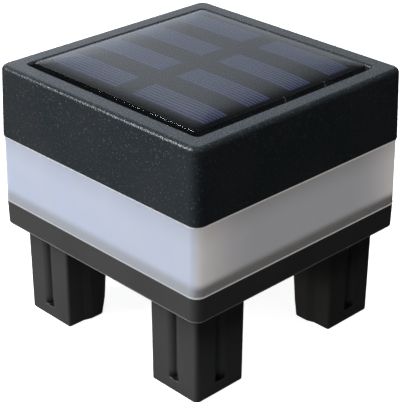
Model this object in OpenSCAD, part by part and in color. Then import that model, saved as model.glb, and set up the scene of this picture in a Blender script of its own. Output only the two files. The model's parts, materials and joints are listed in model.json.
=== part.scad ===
// Solar cap light for a hollow square deck or fence post.
// Millimetres, +Z up. The origin is on the lamp's axis, level with the ends of its four legs.

/* [Body] */
// Width across the light band and the lower edge of the cap
body_w = 67; // [65:0.5:90]
// Radius of the upright corners
corner_r = 2.6; // [2.5:0.1:5]
// Height of the black cap
cap_h = 17.7; // [17:0.1:30]
// How far each side of the cap draws in towards its top
cap_taper = 0.5; // [0.1:0.1:1]
// Radius round the cap's upper edge
cap_edge_r = 1.3; // [0.6:0.1:2.4]
// Wall of the cap
cap_wall = 2; // [1.6:0.1:2.6]
// Height of the light band
band_h = 17; // [12:0.5:40]
// How far each side of the light band draws in under the cap
band_taper = 0.3; // [0.1:0.1:0.6]
// Wall of the light band
band_wall = 2; // [1.8:0.1:2.4]
// Height of the skirt of the base
skirt_h = 6; // [5.5:0.1:10]
// Thickness of the floor of the base
floor_t = 2.2; // [2:0.1:3]

/* [Legs] */
// Distance across the outer faces of the legs, which slip into the post
leg_span = 59.6; // [56:0.1:62]
// Width of one leg, from its outer face to its innermost face
leg_w = 15.7; // [13.5:0.1:18]
// Length of the legs below the skirt
leg_h = 24; // [15:0.5:50]
// Wall of a hollow leg
leg_wall = 1.6; // [1.2:0.1:2]
// Radius down the outer corner of a leg
leg_corner_r = 1.2; // [0.8:0.1:3]
// Flat cut across the inner corner of a leg, measured at its lower end
leg_cut = 5.6; // [4:0.1:7]
// Width of the bottom of the flute down each outer face
flute_w = 0.6; // [0.4:0.1:2]
// Depth of the flute
flute_d = 1.2; // [0.6:0.1:1.6]
// Height of the plain foot below the flute
flute_foot = 3; // [2:0.5:8]

/* [Solar panel] */
// Width of the cap's rim round the panel
rim_w = 5; // [3.5:0.1:7]
// Depth of the panel's recess in the cap
recess_d = 2.5; // [2.2:0.1:4]
// Free gap between the panel and the rim
panel_gap = 0.7; // [0.3:0.1:1.2]
// Thickness of the circuit board under the cells
panel_board_t = 1.2; // [0.8:0.1:1.6]
// Height of the resin's edge above the rim
resin_edge = 0.4; // [0.1:0.1:1]
// Height of the resin's crown above its edge
resin_crown = 1.1; // [0.5:0.1:2]
// Columns of cells
cell_cols = 2; // [1:1:3]
// Rows of cells
cell_rows = 4; // [2:1:5]
// Gap between two columns
cell_col_gap = 4; // [1:0.5:6]
// Gap between two rows
cell_row_gap = 6; // [2:0.5:8]
// Plain border at the ends of the cells
cell_end_border = 2.4; // [1.5:0.1:4]
// Plain border beside the outer rows
cell_side_border = 4.2; // [2:0.1:6]

/* [Battery and switch] */
// Diameter of the rechargeable cell
battery_d = 10.5; // [8:0.5:10.5]
// Length of the rechargeable cell
battery_l = 44.5; // [30:0.5:44.5]
// Travel of the switch knob
knob_travel = 2; // [1.5:0.1:3]
// How far the knob stands out below the floor
knob_proud = 1.6; // [0.5:0.1:2.5]

/* [Fits] */
// Clearance on each side where one moulding slips into the next
slip = 0.15; // [0.1:0.05:0.3]
// Clearance round a screw in its hole
screw_play = 0.05; // [0.05:0.05:0.2]
// Clearance round the moving knob
knob_play = 0.3; // [0.2:0.05:0.5]

/* [Hidden] */
$fn = 48;
skin = 0.01;
through = 1;

black_abs = [0.13, 0.14, 0.15];
white_ps = [0.93, 0.93, 0.92];
nickel = [0.75, 0.75, 0.73];
copper_board = [0.10, 0.30, 0.18];

// Levels, from the leg ends up
z_floor = leg_h;
z_floor_top = z_floor + floor_t;
z_band = z_floor + skirt_h;
z_cap = z_band + band_h;
z_rim = z_cap + cap_h;
z_recess = z_rim - recess_d;
ceiling_t = 1.8;
rim_edge_r = 0.8;
z_ceiling = z_recess - ceiling_t;

// Base: outer skirt wall, groove for the light band, upstand behind the band
skirt_taper = 0.1;
skirt_edge_r = 0.3;
skirt_wall = 1.25;
upstand_h = 3.6;
upstand_t = 1.6;
groove_floor_t = 3.8;
tongue_t = 0.7;
seal_t = 1.1;
band_in = body_w - 2 * band_wall;
upstand_w = band_in - 4 * slip;
groove_out = body_w - 2 * skirt_wall;
z_seal = z_floor + groove_floor_t;
z_tongue = z_seal + seal_t;

// Cap interior and the light band's collar, which slips into it
cap_in = body_w - 2 * cap_taper - 2 * cap_wall;
collar_w = cap_in - 2 * slip;
collar_t = 1.2;
collar_up = 1.4;
collar_down = 2.2;
z_reflector = z_cap + collar_up;
reflector_t = 1;
reflector_rim = 1.5;
z_stop = z_reflector + reflector_t + reflector_rim;
stop_rib = 1.2;
stop_rib_at = 18;

// Legs
leg_out = leg_span / 2;
leg_in = leg_out - leg_w;
leg_draft = 0.12;
leg_cut_lean = 2.2;
leg_step = 0.65;
leg_step_at = 0.6;
leg_step_run = 2;
leg_edge_r = 0.7;
leg_floor_t = 2;
leg_foot_edge = 0.4;
flute_run_out = 0.4;
flute_at = (leg_out + leg_in + leg_step) / 2;

// Four long screws hold the cap to the base, beside the cut corners of the legs
screw_at = leg_in - 0.5;
post_d = 6.4;
screw_d = 2.5;
screw_l = 8;
head_d = 4.8;
head_h = 1.5;
pad_d = 9;
pad_h = 1.6;
z_pad = z_floor_top + pad_h;
head_pocket = 1.6;
z_head_seat = z_floor + head_pocket;

// Panel
opening_w = body_w - 2 * cap_taper - 2 * rim_w;
opening_r = 0.8;
panel_w = opening_w - 2 * panel_gap;
panel_r = 1.6;
tape_t = 0.4;
tape_w = 5;
tape_inset = 1;
z_board = z_recess + tape_t;
z_cells = z_board + panel_board_t;
cell_t = 0.25;
cell_play = 0.05;
cell_l = (panel_w - 2 * cell_end_border - (cell_cols - 1) * cell_col_gap) / cell_cols;
cell_w = (panel_w - 2 * cell_side_border - (cell_rows - 1) * cell_row_gap) / cell_rows;
bead_d = 0.8;
bead_h = 0.4;
bead_at = panel_w / 2 - cell_end_border / 2;

// Battery in its cradle under the ceiling, with its axis along X
spring_l = 3.6;
plate_t = 0.4;
plate_w = 9.4;
plate_h = 9;
tab_reach = 1.6;
tab_h = 1.6;
tab_z = -0.4;
cradle_wall = 1.5;
nub_d = 3.8;
nub_h = 1;
battery_top_gap = 0.3;
battery_z = z_ceiling - battery_top_gap - battery_d / 2;
battery_y = -(cap_in / 2 - stop_rib - battery_d / 2 - 0.3);
battery_x = spring_l / 2;
plate_x = (battery_l + spring_l) / 2;
spring_turns = 3;
spring_wire = 0.6;
spring_r0 = 3.6;
spring_r1 = 2;
spring_rings = 16;

// LED board on two short posts under the ceiling
board_l = 32;
board_post_gap = 1.15;
board_w = 2 * (screw_at - post_d / 2 - board_post_gap);
board_t = 1.2;
z_led_board = z_reflector + reflector_t + 2.1;
z_parts = z_led_board + board_t;
board_screw_at = 13;
board_post_d = 4.6;
board_screw_d = 1.9;
led_x = 6;
led_y = board_w / 2 - 3.5;
led_size = 3.5;
led_hole_d = led_size + 2;
led_h = 1.9;
diode_y = -(board_w / 2 - 3.1);
solder_y = board_w / 2 - 1.9;
battery_solder_x = 13.4;
battery_solder_y = -(board_w / 2 - 2.5);

// Slide switch on the floor, with its travel along X
switch_l = 8.6;
switch_w = 4.4;
switch_h = 4;
frame_l = 19.8;
frame_w = 5.6;
frame_t = 0.5;
frame_screw_at = 7.5;
frame_screw_d = 1.9;
boss_h = 1;
z_frame = z_floor_top + boss_h;
z_switch = z_frame + frame_t;
knob_l = 3.4;
knob_w = 2.6;
foot_l = 4.6;
foot_w = 3;
foot_h = 0.8;
dish_d = 13;
dish_depth = 0.7;

wire_d = 1.2;
wire_sides = 8;
wire_hole_d = 5;
wire_hole_y = panel_w / 2 - tape_inset - tape_w - 1.3;
switch_wire_y = board_w / 2 + 3;

// Shapes that repeat ------------------------------------------------------------------------

// Square with round corners, made of exact arcs
module rounded_square(w, r) {
    square([w - 2 * r, w], center = true);
    square([w, w - 2 * r], center = true);
    for (x = [-1, 1], y = [-1, 1])
        translate([x * (w / 2 - r), y * (w / 2 - r)])
            circle(r = r);
}

// Upright prism of a rounded square between two levels
module prism(w, r, z0, z1) {
    translate([0, 0, z0])
        linear_extrude(z1 - z0)
            rounded_square(w, r);
}

// Square tube between two levels
module square_tube(w_out, w_in, r, z0, z1) {
    translate([0, 0, z0])
        linear_extrude(z1 - z0)
            difference() {
                rounded_square(w_out, r);
                rounded_square(w_in, max(r - (w_out - w_in) / 2, 0.6));
            }
}

// Corner points of a square with round corners
function rounded_points(w, r, steps = 8) = [for (c = [0:3], k = [0:steps])
    let (a = 90 * (c + k / steps), m = w / 2 - r, turn = 45 + 90 * c)
    [m * sqrt(2) * cos(turn) + r * cos(a), m * sqrt(2) * sin(turn) + r * sin(a)]];

// Thin level of a drafted shape
module level(w, r, z) {
    translate([0, 0, z])
        linear_extrude(skin)
            polygon(rounded_points(w, r));
}

// Drafted block with its upper and lower edges rounded
module drafted_block(w_low, w_top, r, z0, z1, low_r, top_r) {
    hull() {
        for (a = [0:18:90]) {
            low_in = low_r * (1 - cos(a));
            level(w_low - 2 * low_in, r - min(low_in, r / 2), z0 + low_r * (1 - sin(a)));
            top_in = top_r * (1 - cos(a));
            level(w_top - 2 * top_in, r - min(top_in, r / 2), z1 - skin - top_r * (1 - sin(a)));
        }
    }
}

// The same thing at four places, at x and y on either side of the axis
module at_four(x, y) {
    for (i = [-1, 1], j = [-1, 1])
        translate([i * x, j * y, 0])
            children();
}

// Box centred on the axis between two levels
module slab(l, w, z0, z1) {
    translate([-l / 2, -w / 2, z0])
        cube([l, w, z1 - z0]);
}

// Cap ---------------------------------------------------------------------------------------

module cap_housing() {
    color(black_abs)
        difference() {
            union() {
                cap_shell();
                cap_posts();
                battery_cradle();
            }
            cap_bores();
        }
}

module cap_shell() {
    difference() {
        drafted_block(body_w, body_w - 2 * cap_taper, corner_r, z_cap, z_rim, 0.3, cap_edge_r);
        prism(cap_in, corner_r - 1, z_cap - through, z_ceiling);
        prism(opening_w, opening_r, z_recess, z_rim + through);
        rim_flare();
        translate([0, wire_hole_y, z_ceiling - through])
            cylinder(d = wire_hole_d, h = ceiling_t + 2 * through);
    }
    stop_ribs();
}

// Widens the mouth of the recess, so that the rim's inner edge is round
module rim_flare() {
    step = 22.5;
    for (a = [0:step:90 - step])
        hull()
            for (b = [a, a + step]) {
                out = rim_edge_r * (1 - cos(b)) - skin;
                level(opening_w + 2 * out, opening_r + out, z_rim - rim_edge_r * (1 - sin(b)));
            }
}

// Ribs down the walls that hold the reflector on the collar
module stop_ribs() {
    for (a = [0:90:270], s = [-1, 1])
        rotate(a)
            translate([cap_in / 2 - stop_rib, s * stop_rib_at - stop_rib / 2, z_stop])
                cube([stop_rib + skin, stop_rib, z_ceiling - z_stop + skin]);
}

// Four long posts for the housing screws and two short ones for the LED board
module cap_posts() {
    at_four(screw_at, screw_at)
        translate([0, 0, z_pad])
            cylinder(d = post_d, h = z_ceiling - z_pad + skin);
    for (s = [-1, 1])
        translate([s * board_screw_at, 0, z_parts])
            cylinder(d = board_post_d, h = z_ceiling - z_parts + skin);
    gusset_h = 3;
    gusset_t = 1.2;
    for (s = [-1, 1])
        translate([0, s * screw_at, 0])
            difference() {
                slab(cap_in + skin, gusset_t, z_ceiling - gusset_h, z_ceiling + skin);
                slab(2 * screw_at, 2 * gusset_t, z_ceiling - 2 * gusset_h, z_ceiling + through);
            }
}

// Pilot bores in the posts
module cap_bores() {
    at_four(screw_at, screw_at)
        translate([0, 0, z_pad - skin])
            cylinder(d = screw_d + 2 * screw_play, h = screw_l);
    for (s = [-1, 1])
        translate([s * board_screw_at, 0, z_parts - skin])
            cylinder(d = board_screw_d + 2 * screw_play, h = 4.4);
}

// Saddles over the battery, and a pocket for a contact plate at each end
module battery_cradle() {
    saddle_t = 1.5;
    saddle_w = battery_d + 2;
    translate([battery_x, battery_y, 0])
        for (x = [-battery_l / 4, battery_l / 4])
            difference() {
                translate([x - saddle_t / 2, -saddle_w / 2, battery_z])
                    cube([saddle_t, saddle_w, z_ceiling - battery_z + skin]);
                translate([x - saddle_t, 0, battery_z])
                    rotate([0, 90, 0])
                        cylinder(d = battery_d + 2 * slip, h = 2 * saddle_t);
            }
    wall_low = z_stop + slip;
    wall_y = plate_w + 2 * cradle_wall;
    rail_low = battery_z + 1;
    for (s = [-1, 1])
        translate([s * (plate_x + plate_t), battery_y, 0])
            mirror([s < 0 ? 1 : 0, 0, 0]) {
                translate([0, -wall_y / 2, wall_low])
                    cube([cradle_wall, wall_y, z_ceiling - wall_low + skin]);
                for (side = [-1, 1])
                    translate([-plate_t - 1, side * (wall_y - cradle_wall) / 2 - cradle_wall / 2, rail_low])
                        cube([plate_t + 1 + skin, cradle_wall, z_ceiling - rail_low + skin]);
            }
}

// Solar panel -------------------------------------------------------------------------------

module panel_tape() {
    color([0.85, 0.85, 0.82])
        square_tube(panel_w - 2 * tape_inset, panel_w - 2 * tape_inset - 2 * tape_w, panel_r,
            z_recess, z_board);
}

module panel_board() {
    color([0.09, 0.10, 0.10])
        prism(panel_w, panel_r, z_board, z_cells);
}

// Corner of one cell, by column and row
function cell_corner(i, j) = [
    -panel_w / 2 + cell_end_border + i * (cell_l + cell_col_gap),
    -panel_w / 2 + cell_side_border + j * (cell_w + cell_row_gap)];

module solar_cells() {
    color([0.20, 0.23, 0.36])
        each_cell(0);
}

module each_cell(play) {
    for (i = [0:cell_cols - 1], j = [0:cell_rows - 1])
        translate([cell_corner(i, j)[0] - play, cell_corner(i, j)[1] - play, z_cells])
            cube([cell_l + 2 * play, cell_w + 2 * play, cell_t + play]);
}

// Row gaps above the middle of the panel, where the rows are joined in series
bead_gaps = [for (j = [ceil(cell_rows / 2) - 1:cell_rows - 2]) j];

module bead(play) {
    for (j = bead_gaps)
        translate([bead_at, cell_corner(0, j)[1] + cell_w + cell_row_gap / 2, z_cells])
            cylinder(d = bead_d + 2 * play, h = bead_h + play);
}

module solder_beads() {
    color([0.85, 0.85, 0.85])
        bead(0);
}

// Share of the crown's height at a share of the way in from the edge
function crown_rise(s) = 1 - pow(1 - s, 6);

// Clear casting over the cells, with a pillowed top
module panel_resin() {
    z_edge = z_rim + resin_edge;
    edge_r = 0.45;
    color([0.55, 0.58, 0.66, 0.6])
        difference() {
            union() {
                translate([0, 0, z_cells])
                    linear_extrude(z_edge - edge_r - z_cells)
                        polygon(rounded_points(panel_w, panel_r));
                hull() {
                    for (a = [0:30:90])
                        level(panel_w - 2 * edge_r * (1 - cos(a)), panel_r,
                            z_edge - edge_r * (1 - sin(a)));
                    for (s = [0.03, 0.08, 0.15, 0.24, 0.36, 0.52, 0.72])
                        level((panel_w - 2 * edge_r) * (1 - s), panel_r + s * 10,
                            z_edge + resin_crown * crown_rise(s));
                }
            }
            each_cell(cell_play);
            bead(cell_play);
        }
}

// Light band --------------------------------------------------------------------------------

module diffuser() {
    color([0.80, 0.82, 0.88, 0.8])
        difference() {
            union() {
                drafted_block(body_w, body_w - 2 * band_taper, corner_r - 0.2, z_band, z_cap, 0.2, 0.2);
                prism(groove_out - 4 * slip, corner_r - 1, z_tongue, z_band + 1);
                prism(collar_w, corner_r - 1, z_cap - 1, z_reflector);
            }
            prism(collar_w - 2 * collar_t, corner_r - 2, z_tongue - through, z_reflector + through);
            prism(band_in, corner_r - 1, z_tongue - through, z_cap - collar_down);
        }
}

// Foam ring in the groove under the light band
module diffuser_seal() {
    color([0.25, 0.25, 0.25])
        square_tube(groove_out - 4 * slip, band_in - slip, corner_r - 1, z_seal, z_tongue);
}

// White plate above the light band that throws the light down and out
module reflector() {
    plate = cap_in - 4 * slip;
    color(white_ps)
        difference() {
            union() {
                prism(plate, corner_r - 1.3, z_reflector, z_reflector + reflector_t);
                square_tube(plate, plate - 2, corner_r - 1.3, z_reflector, z_stop);
            }
            translate([0, 0, z_reflector - through]) {
                at_four(screw_at, screw_at)
                    cylinder(d = post_d + 0.8, h = reflector_t + 2 * through);
                at_four(led_x, led_y)
                    cylinder(d = led_hole_d, h = reflector_t + 2 * through);
                translate([0, switch_wire_y, 0])
                    cylinder(d = wire_hole_d, h = reflector_t + 2 * through);
            }
        }
}

// Base --------------------------------------------------------------------------------------

module base() {
    color(black_abs)
        difference() {
            union() {
                skirt();
                for (a = [0:90:270])
                    rotate(a)
                        leg();
                floor_bosses();
            }
            for (a = [0:90:270])
                rotate(a)
                    leg_core();
            floor_holes();
        }
}

// Skirt with its groove, the upstand behind the light band, and the floor
module skirt() {
    difference() {
        drafted_block(body_w - 2 * skirt_taper, body_w, corner_r - 0.1, z_floor, z_band,
            skirt_edge_r, skin);
        square_tube(groove_out, upstand_w, corner_r - 0.8, z_seal, z_band + through);
        prism(upstand_w - 2 * upstand_t, corner_r - 2, z_floor_top, z_band + through);
    }
    square_tube(upstand_w, upstand_w - 2 * upstand_t, corner_r - 1.2, z_seal - 1, z_band + upstand_h);
}

// Outline of a leg: outer corner round, inner corner cut flat
function leg_outline(inset, cut) =
    let (o = leg_out - inset, i = leg_in + inset, r = leg_corner_r)
    concat([[o, i]],
        [for (a = [0:15:90]) [o - r + r * cos(a), o - r + r * sin(a)]],
        [[i, o], [i, i + cut], [i + cut, i]]);

module leg_level(inset, cut, z) {
    translate([0, 0, z])
        linear_extrude(skin)
            polygon(leg_outline(inset, cut));
}

module leg() {
    difference() {
        hull() {
            leg_level(leg_draft + leg_foot_edge, leg_cut, 0);
            leg_level(leg_draft, leg_cut, leg_foot_edge);
            leg_level(0, leg_cut - leg_cut_lean, z_floor);
        }
        leg_steps();
        flutes();
    }
}

// The two inner faces step back beside the outer faces, and meet them in a round edge
module leg_steps() {
    a = leg_in + leg_w * leg_step_at;
    r = leg_edge_r;
    edge = [for (t = [0:22.5:90])
        [leg_out - r + r * sin(t), leg_in + leg_step + r - r * cos(t)]];
    translate([0, 0, -through])
        linear_extrude(z_floor + through)
            for (flip = [0, 1])
                mirror([flip, -flip])
                    polygon(concat([[a, leg_in - 1], [a, leg_in], [a + leg_step_run, leg_in + leg_step]],
                        edge, [[leg_out + 1, leg_in + leg_step + r], [leg_out + 1, leg_in - 1]]));
}

// Half of a flute's cross-section: out of the face, and across it. Its shoulder turns 60 degrees
shoulder_r = 1.75 * flute_d;
shoulder_turn = 60;
flank_in = flute_w / 2 + (flute_d - shoulder_r * (1 - cos(shoulder_turn))) / tan(shoulder_turn);
flute_edge = flank_in + shoulder_r * sin(shoulder_turn);
flute_half = concat([[1, flute_edge]],
    [for (t = [0:12:shoulder_turn])
        [-shoulder_r * (1 - cos(t)), flute_edge - shoulder_r * sin(t)]],
    [[-flute_d, flute_w / 2]]);
flute_outline = concat(flute_half,
    [for (k = [len(flute_half) - 1:-1:0]) [flute_half[k][0], -flute_half[k][1]]]);

// Levels of a flute: height, and share of its full depth, as it fades into the foot
flute_levels = concat([for (t = [0, 0.5, 1]) [flute_foot + flute_run_out * t, max(sin(90 * t), 0.02)]],
    [[z_floor, 1]]);

// Section of a flute at one level; it leans with the drafted face
function flute_section(z, deep) = [for (p = flute_outline)
    [leg_out + skin - leg_draft * (1 - z / z_floor) + (p[0] < 0 ? p[0] * deep : p[0]),
        flute_at + p[1] * (0.6 + 0.4 * deep), z]];

module flute() {
    n = len(flute_outline);
    last = len(flute_levels) - 1;
    points = [for (v = flute_levels) each flute_section(v[0], v[1])];
    walls = [for (k = [0:last - 1], q = [0:n - 1])
        let (a = k * n + q, b = k * n + (q + 1) % n)
        each [[a, a + n, b], [b, a + n, b + n]]];
    low_end = [for (q = [0:n / 2 - 2]) [q, q + 1, n - 2 - q, n - 1 - q]];
    high_end = [for (f = low_end) [for (q = [3:-1:0]) f[q] + last * n]];
    polyhedron(points, concat(walls, low_end, high_end));
}

module flutes() {
    for (flip = [0, 1])
        mirror([flip, -flip, 0])
            flute();
}

// Hollow of a leg, cored from above; its wall follows the flutes
module leg_core() {
    o = leg_out - leg_wall;
    i = leg_in + leg_step + leg_wall;
    back = flute_w / 2 + leg_wall;
    cut = leg_cut - 2 * leg_step - leg_wall * 0.4;
    translate([0, 0, leg_floor_t])
        linear_extrude(z_floor_top - leg_floor_t + skin)
            difference() {
                polygon([[o, i], [o, o], [i, o], [i, i + cut], [i + cut, i]]);
                for (flip = [0, 1])
                    mirror([flip, -flip])
                        translate([o - flute_d, flute_at - back])
                            square([flute_d + 1, 2 * back]);
            }
}

// Pads round the housing screws, ribs from them to the upstand, and the switch's two bosses
module floor_bosses() {
    at_four(screw_at, screw_at)
        translate([0, 0, z_floor])
            cylinder(d = pad_d, h = z_pad - z_floor);
    rib_t = 1.2;
    for (a = [0:90:270])
        rotate(a) {
            translate([screw_at, -screw_at - rib_t / 2, z_floor_top - skin])
                cube([upstand_w / 2 - upstand_t / 2 - screw_at, rib_t, pad_h]);
            translate([-screw_at, -screw_at - rib_t / 2, z_floor_top - skin])
                cube([2 * screw_at, rib_t, pad_h - 0.4]);
        }
    for (s = [-1, 1])
        translate([s * frame_screw_at, 0, z_floor])
            cylinder(d = frame_w, h = z_frame - z_floor);
}

// Screw holes, the knob's slot and the finger dish round it
module floor_holes() {
    at_four(screw_at, screw_at)
        translate([0, 0, z_floor]) {
            translate([0, 0, -through])
                cylinder(d = screw_d + 8 * screw_play, h = z_pad - z_floor + 2 * through);
            translate([0, 0, -skin])
                cylinder(d = head_d + 0.6, h = head_pocket + skin);
        }
    for (s = [-1, 1])
        translate([s * frame_screw_at, 0, z_floor + 1])
            cylinder(d = frame_screw_d + 2 * screw_play, h = z_frame - z_floor);
    slab(knob_l + knob_travel + 2 * knob_play, knob_w + 2 * knob_play, z_floor - through, z_frame);
    translate([0, 0, z_floor - skin])
        cylinder(d1 = dish_d, d2 = dish_d - 2 * dish_depth, h = dish_depth + skin);
}

// LED board and its parts -------------------------------------------------------------------

module led_board() {
    color(copper_board)
        difference() {
            slab(board_l, board_w, z_led_board, z_parts);
            for (s = [-1, 1])
                translate([s * board_screw_at, 0, z_led_board - through])
                    cylinder(d = board_screw_d + 0.5, h = board_t + 2 * through);
        }
}

module leds() {
    color([0.95, 0.90, 0.55])
        at_four(led_x, led_y)
            difference() {
                slab(led_size, led_size - 0.7, z_led_board - led_h, z_led_board);
                translate([0, 0, z_led_board - led_h - skin])
                    cylinder(d1 = led_size - 1, d2 = led_size - 1.4, h = 0.4);
            }
}

module driver_chip() {
    pins = 4;
    pitch = 1.27;
    translate([-7, 0, 0])
        color([0.12, 0.12, 0.12]) {
            slab(3.9, 4.9, z_parts + 0.15, z_parts + 1.6);
            for (s = [-1, 1], k = [0:pins - 1])
                translate([s * 2.4, (k - (pins - 1) / 2) * pitch, 0]) {
                    slab(1.3, 0.4, z_parts, z_parts + 0.25);
                    translate([-s * 0.35, 0, 0])
                        slab(0.5, 0.4, z_parts, z_parts + 0.9);
                }
        }
}

module inductor() {
    h = 6;
    r = 2.75;
    waist = 1.9;
    translate([6.5, 0, z_parts])
        color([0.20, 0.20, 0.22])
            rotate_extrude()
                polygon([[0, 0], [r, 0], [r, 0.9], [waist, 1.2], [waist, h - 1.2], [r, h - 0.9],
                    [r, h], [0, h]]);
}

module diode() {
    body_d = 2.4;
    body_l = 4.6;
    lead_d = 0.6;
    reach = 3.6;
    translate([0, diode_y, z_parts + body_d / 2])
        color([0.15, 0.15, 0.16]) {
            rotate([0, 90, 0]) {
                cylinder(d = body_d, h = body_l, center = true);
                cylinder(d = lead_d, h = 2 * reach, center = true);
            }
            for (s = [-1, 1])
                translate([s * (reach - lead_d / 2), 0, -body_d / 2])
                    cylinder(d = lead_d, h = body_d / 2);
        }
}

// Battery -----------------------------------------------------------------------------------

module battery_cell() {
    r = battery_d / 2;
    can = battery_l - nub_h;
    color([0.20, 0.45, 0.30])
        translate([battery_x - battery_l / 2, battery_y, battery_z])
            rotate([0, 90, 0])
                rotate_extrude()
                    polygon([[0, 0], [r - 0.8, 0], [r - 0.5, 0.2], [r, 0.2], [r, can - 0.3],
                        [r - 0.3, can], [nub_d / 2, can], [nub_d / 2, battery_l], [0, battery_l]]);
}

// Point on the conical spring, by turns from the plate
function spring_point(t) =
    let (share = t / spring_turns, r = spring_r0 + (spring_r1 - spring_r0) * share, a = 360 * t)
    [spring_wire / 2 + (spring_l - spring_wire) * share, r * cos(a), r * sin(a)];

module battery_spring() {
    color(nickel)
        translate([-plate_x, battery_y, battery_z])
            tube([for (k = [0:spring_turns * spring_rings]) spring_point(k / spring_rings)],
                spring_wire, 6);
}

// Sprung contact plates, each with a tab that its wire is soldered to
module contact_plates() {
    color(nickel)
        for (s = [-1, 1])
            translate([s * (plate_x + plate_t / 2), battery_y, battery_z]) {
                slab(plate_t, plate_w, -plate_h / 2, plate_h / 2);
                translate([0, (plate_w + tab_reach) / 2, 0])
                    slab(plate_t, tab_reach, tab_z - tab_h / 2, tab_z + tab_h / 2);
            }
}

// Screws ------------------------------------------------------------------------------------

// Pan head screw with a cross recess; the head's seat is at the origin and the shank goes up
module pan_screw(d, l, head, height) {
    slot = head * 0.16;
    difference() {
        rotate_extrude()
            polygon([[0, -height], [head * 0.32, -height], [head * 0.46, -height * 0.62],
                [head / 2, -height * 0.2], [head / 2, 0], [d / 2, 0], [d / 2, l - d / 2],
                [d * 0.15, l], [0, l]]);
        for (a = [0, 90])
            rotate(a)
                slab(head * 0.55, slot, -height - skin, -height * 0.4);
    }
}

module housing_screws() {
    color(nickel)
        at_four(screw_at, screw_at)
            translate([0, 0, z_head_seat])
                pan_screw(screw_d, screw_l + z_pad - z_head_seat - 1, head_d, head_h);
}

module board_screws() {
    color(nickel)
        for (s = [-1, 1])
            translate([s * board_screw_at, 0, z_led_board])
                pan_screw(board_screw_d, 5, 3.6, 1.2);
}

module switch_screws() {
    color(nickel)
        for (s = [-1, 1])
            translate([s * frame_screw_at, 0, z_switch])
                mirror([0, 0, 1])
                    pan_screw(frame_screw_d, z_switch - z_floor - 1.2, 3.4, 1.1);
}

// Slide switch ------------------------------------------------------------------------------

// Pressed steel frame with an ear at each end
module switch_frame() {
    color(nickel)
        difference() {
            union() {
                slab(frame_l - frame_w, frame_w, z_frame, z_switch);
                for (s = [-1, 1])
                    translate([s * (frame_l - frame_w) / 2, 0, z_frame])
                        cylinder(d = frame_w, h = frame_t);
            }
            for (s = [-1, 1])
                translate([s * frame_screw_at, 0, z_frame - through])
                    cylinder(d = frame_screw_d + 0.3, h = frame_t + 2 * through);
            slab(knob_l + knob_travel + 2 * knob_play, knob_w + 2 * knob_play, z_frame - through,
                z_switch + through);
        }
}

// Insulating body with the slider's chamber and three terminals
module switch_body() {
    chamber_h = foot_h + 2 * knob_play;
    color([0.16, 0.14, 0.12])
        difference() {
            slab(switch_l, switch_w, z_switch, z_switch + switch_h);
            slab(foot_l + knob_travel + 2 * knob_play, foot_w + 2 * knob_play, z_switch - through,
                z_switch + chamber_h);
        }
    color(nickel)
        for (k = [-1:1])
            translate([k * 2.5, 0, 0])
                slab(0.5, 1.2, z_switch + switch_h, z_switch + switch_h + 2);
}

// Slider: its foot rides in the chamber and its knob comes out through the floor
module switch_knob() {
    ridges = 3;
    z_tip = z_floor - knob_proud;
    translate([-knob_travel / 2, 0, 0])
        color([0.08, 0.08, 0.08])
            difference() {
                union() {
                    slab(foot_l, foot_w, z_switch + knob_play / 2, z_switch + knob_play / 2 + foot_h);
                    slab(knob_l, knob_w, z_tip, z_switch + knob_play);
                }
                for (k = [0:ridges - 1])
                    translate([(k - (ridges - 1) / 2) * knob_l / ridges, 0, 0])
                        slab(0.5, knob_w + 1, z_tip - skin, z_tip + 0.4);
            }
}

// Wires -------------------------------------------------------------------------------------

function unit(v) = v / norm(v);

// Direction of the path at a point, from its neighbours
function heading(p, k) = unit(p[min(k + 1, len(p) - 1)] - p[max(k - 1, 0)]);

// Any direction square to a heading, kept steady along the path
function side_of(h) = unit(cross(h, abs(h[0]) > 0.9 ? [0, 0, 1] : [1, 0.02, 0]));

function carried(s, h) = unit(s - h * (s * h));

function frames(p, k = 0, s = undef) = k >= len(p) ? [] :
    let (h = heading(p, k), now = is_undef(s) ? side_of(h) : carried(s, h))
    concat([[now, cross(h, now)]], frames(p, k + 1, now));

// Round tube along a path
module tube(path, d, sides) {
    f = frames(path);
    n = len(path);
    points = [for (k = [0:n - 1], q = [0:sides - 1])
        path[k] + d / 2 * (cos(360 * q / sides) * f[k][0] + sin(360 * q / sides) * f[k][1])];
    walls = [for (k = [0:n - 2], q = [0:sides - 1])
        let (a = k * sides + q, b = k * sides + (q + 1) % sides)
        each [[a, a + sides, b], [b, a + sides, b + sides]]];
    cap_low = [for (q = [1:sides - 2]) [0, q, q + 1]];
    top = (n - 1) * sides;
    cap_top = [for (q = [1:sides - 2]) [top, top + q + 1, top + q]];
    polyhedron(points, concat(walls, cap_low, cap_top));
}

// Smooth path through hand-placed points, with straight first and last stretches
function spline_at(p, k, t) =
    let (a = p[max(k - 1, 0)], b = p[k], c = p[k + 1], e = p[min(k + 2, len(p) - 1)])
    0.5 * ((2 * b) + (c - a) * t + (2 * a - 5 * b + 4 * c - e) * t * t
        + (3 * b - a - 3 * c + e) * t * t * t);

function smooth(p, steps) = concat([p[0]],
    [for (k = [1:len(p) - 3], q = [0:steps - 1]) spline_at(p, k, q / steps)],
    [p[len(p) - 2], p[len(p) - 1]]);

// From the panel's board, through the ceiling, to the LED board
module panel_wires() {
    color([0.75, 0.15, 0.12])
        for (s = [-1, 1])
            tube(smooth([[s * 1.3, wire_hole_y, z_board], [s * 1.3, wire_hole_y, z_board - 2],
                [s * 2.2, wire_hole_y - 1.5, z_ceiling - 2], [s * 4.6, 13, z_ceiling - 3],
                [s * 5.4, solder_y + 1.6, z_parts + 4], [s * 5.4, solder_y, z_parts + 2],
                [s * 5.4, solder_y, z_parts]], 3), wire_d, wire_sides);
}

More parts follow.
